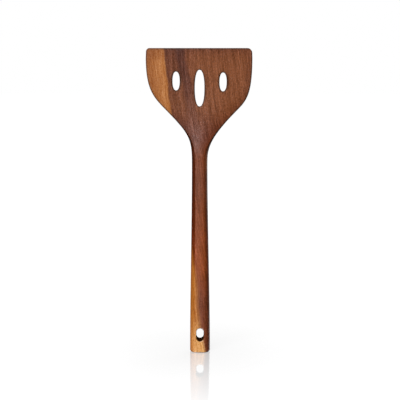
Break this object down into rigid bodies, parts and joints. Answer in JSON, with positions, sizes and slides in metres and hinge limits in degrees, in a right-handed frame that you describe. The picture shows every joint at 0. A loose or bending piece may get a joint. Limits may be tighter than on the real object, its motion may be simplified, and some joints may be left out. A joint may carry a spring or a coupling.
{
  "type": "slotted wooden spatula",
  "caption": "Flat wooden kitchen spatula: wide slotted blade with a straight working edge, sloping shoulders, and a long rounded handle with a hang hole.",
  "frame": {"origin": "middle of the flat end of the handle's butt", "axes": "+Z along the handle from the butt to the working edge, -Y out of the front face, +Y out of the flat back"},
  "size_m": [0.104, 0.014, 0.305],
  "materials": {
    "oiled_wood": "oiled satin heartwood with a band of golden sapwood"
  },
  "bodies": {
    "root": {"spatula": "oiled_wood"}
  },
  "joints": []
}
